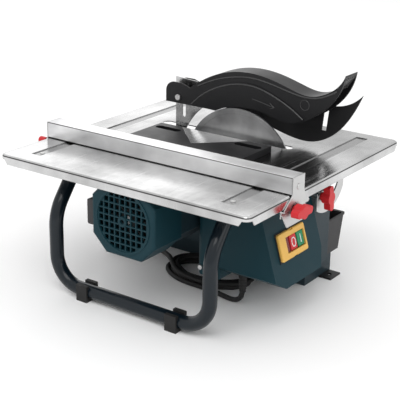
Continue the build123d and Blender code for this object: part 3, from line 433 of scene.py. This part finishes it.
def coilPoints(look):
    # two turns in, two turns out one layer up, and one more on top, all clockwise from above
    start, total = -8.0, 4 * 360 + 30
    step = 360.0 / look["stepsPerTurn"]
    points = []
    angle = start
    while angle <= total:
        turn = (angle - start) / 360.0
        layer = min(2, int(turn // 2))
        if turn < 2:
            inset = turn * look["pitch"]
        elif turn < 4:
            inset = (4 - turn) * look["pitch"]
        else:
            inset = (turn - 4) * look["pitch"]
        inLayer = (turn - 2 * layer) * 360.0
        climb = min(1.0, inLayer / look["rise"]) if layer else 1.0
        climb = climb * climb * (3 - 2 * climb)
        level = layer - 1 + climb if layer else 0
        swayX = look["sway"][max(0, layer - 1)][0] * (1 - climb) + look["sway"][layer][0] * climb
        swayY = look["sway"][max(0, layer - 1)][1] * (1 - climb) + look["sway"][layer][1] * climb
        a = radians(angle)
        across, along = look["outer"][0] - inset, look["outer"][1] - inset
        points.append((look["centre"][0] + swayX - across * cos(a), look["centre"][1] + swayY + along * sin(a),
                       look["floor"] + look["layer"] * level))
        angle += step
    return points


def makeCord(look):
    route = look["route"] + coilPoints(look) + look["tail"]
    piece = bead("mainsCord", [Vector(p) * mm for p in route], look["diameter"] / 2 * mm, "black_rubber", "base")
    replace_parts(piece, "power_cord", "cord_coil", "cord_tail")
    makePlug()
    makeRelief()
    return piece


def makeRelief():
    # ribbed sleeve below the switch housing
    low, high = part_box("strain_relief")
    x, y = (low.x + high.x) / 2, (low.y + high.y) / 2
    profile = [(0.0, 8.0), (3.0, 8.0), (3.3, 7.2), (4.0, 6.3)]
    ribs, first, last = 7, 5.0, 33.0
    for k in range(ribs):
        z0 = first + (last - first) * k / ribs
        z1 = first + (last - first) * (k + 0.55) / ribs
        r = 6.1 - 1.7 * k / ribs
        profile += [(z0, r), (z0 + 0.3, r + 0.25), (z1 - 0.3, r + 0.2), (z1, r), (z1 + 0.2, r - 0.8)]
    profile += [(last + 0.5, 4.5), (35.0, 4.3)]
    piece = turned("cordSleeve", [(a * mm, r * mm) for a, r in profile], (x, y, high.z), (0, 0, -1),
                   "black_rubber", "base")
    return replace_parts(piece, "strain_relief")


def makePlug():
    # two-pin plug with a ribbed neck and a round grip
    low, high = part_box("plug")
    x, z = (low.x + high.x) / 2, (low.z + high.z) / 2
    profile = [(0.0, 4.6)]
    ribs = 6
    for k in range(ribs):
        start = 1.0 + 3.6 * k
        r = 5.2 + 0.8 * k
        profile += [(start, r), (start + 0.4, r + 0.2), (start + 2.0, r + 0.45), (start + 2.4, r - 0.4),
                    (start + 3.2, r - 0.2)]
    profile += [(24.0, 10.6), (27.0, 13.8), (31.0, 15.6), (36.0, 15.2), (44.0, 15.4), (49.0, 16.4), (54.5, 16.5),
                (55.6, 16.0), (56.0, 15.0), (56.0, 13.0), (55.2, 12.6)]
    body = turned("plugBody", [(a * mm, r * mm) for a, r in profile], (x, low.y, z), (0, 1, 0),
                  "black_rubber", "base")
    face = low.y + 55.0 * mm
    for side in (-1, 1):
        pin = [(0, 2.4), (9.5, 2.4), (9.7, 2.35), (17.5, 2.35), (19.4, 1.8), (20.0, 0.9)]
        made = turned("plugPin" + ("Left" if side < 0 else "Right"), [(a * mm, r * mm) for a, r in pin],
                      (x + side * 9.5 * mm, face, z), (0, 1, 0), "zinc_plate", "base", 24)
        made.parent, made.matrix_parent_inverse = body, Matrix.Identity(4)
    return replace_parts(body, "plug")


makeCord(cordLook)
print("cord made")


# switch marks and guard relief
markLook = {
    "origin": (0.0, -172.0, 107.0),
    "lean": 0.30,
    "lift": 3.75,
    "stop": (1.5, 0.0),
    "start": (18.5, 0.0),
    "ring": (4.2, 5.8),
    "bar": 5.6,
    "line": 0.65,
}


capLow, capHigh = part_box("stop_button")
switchX = (capLow.x + capHigh.x) / 2 - markLook["stop"][0] * mm


def onPanel(x, up, out):
    scale = (1 + markLook["lean"] ** 2) ** 0.5
    base, lean = markLook["origin"], markLook["lean"]
    return Vector((switchX + x * mm, (base[1] + (up * lean - out) / scale) * mm,
                   (base[2] + (up + out * lean) / scale) * mm))


def makeMarks(look):
    x, up = look["stop"]
    wide, tall = look["ring"]
    ring = [onPanel(x + wide * cos(2 * pi * k / 32), up + tall * sin(2 * pi * k / 32), look["lift"])
            for k in range(33)]
    bead("stopMark", ring, look["line"] * mm, "white_mark", "stop_cap", 4)
    x, up = look["start"]
    bar = [onPanel(x, up + look["bar"] * side, look["lift"]) for side in (-1, 1)]
    bead("startMark", bar, look["line"] * mm, "white_mark", "start_cap", 2)


guardLook = {
    "ridge": [(62, 226), (48, 241), (24, 256), (-12, 269), (-50, 269), (-80, 258), (-104, 247), (-121, 235)],
    "crown": [(52, 257), (24, 272), (-20, 283), (-55, 282), (-97, 272), (-130, 266), (-153, 273), (-169, 284)],
    "arrow": [(-40.5, 251), (-58, 248), (-76.5, 244)],
    "barbs": [(-69, 249.5), (-76.5, 244), (-69.5, 241.5)],
    "recess": {"at": (-122, 255), "radius": 7.0},
    "ribs": {"from": (-168, 281), "to": (-179, 298), "count": 5, "inset": 5.0},
    "radius": 1.3,
}


def makeGuardRelief(look):
    # moulded bead along the ridge and crown, direction arrow, round recess and ribbed lip, all in a lighter black
    # than the guard as painted highlight
    guardLow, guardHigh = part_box("guard_cover")
    side = guardLow.x

    def at(y, z, out):
        return Vector((side - out * mm, y * mm, z * mm))

    bead("ridgeBead", [at(y, z, 1.5) for y, z in look["ridge"]], look["radius"] * mm, "highlight_black", "guard", 4)
    bead("crownBead", [at(y, z - 3, 0.0) for y, z in look["crown"]], look["radius"] * mm, "highlight_black", "guard", 4)
    bead("arrowShaft", [at(y, z, 1.8) for y, z in look["arrow"]], 0.6 * mm, "highlight_black", "guard")
    bead("arrowHead", [at(y, z, 1.8) for y, z in look["barbs"]], 0.6 * mm, "highlight_black", "guard", 2)
    y0, z0 = look["recess"]["at"]
    r = look["recess"]["radius"]
    rim = [at(y0 + r * cos(2 * pi * k / 16), z0 + r * sin(2 * pi * k / 16), 0.0) for k in range(17)]
    bead("recessRim", rim, 0.5 * mm, "highlight_black", "guard", 4)
    ribs = look["ribs"]
    (ya, za), (yb, zb) = ribs["from"], ribs["to"]
    for k in range(ribs["count"]):
        x = side + ribs["inset"] * mm + (guardHigh.x - side - 2 * ribs["inset"] * mm) * k / (ribs["count"] - 1)
        line = [Vector((x, y * mm, z * mm)) for y, z in ((ya, za), ((ya + yb) / 2 + 1, (za + zb) / 2 - 1), (yb, zb))]
        bead("lipRib" + str(k), line, 0.8 * mm, "highlight_black", "guard")


makeMarks(markLook)
makeGuardRelief(guardLook)
print("marks and guard relief made")


# floor
def makeFloor():
    mesh = bpy.data.meshes.new("floor")
    mesh.from_pydata([(-8, -8, 0), (8, -8, 0), (8, 8, 0), (-8, 8, 0)], [], [(0, 1, 2, 3)])
    floor = bpy.data.objects.new("floor", mesh)
    scene.collection.objects.link(floor)
    material = bpy.data.materials.new("paleFloor")
    material.use_nodes = True
    setValues(material.node_tree.nodes["Principled BSDF"], Base_Color=(0.97, 0.97, 0.97, 1), Roughness=0.9,
              Specular_IOR_Level=0.1)
    paint(floor, material)


makeFloor()
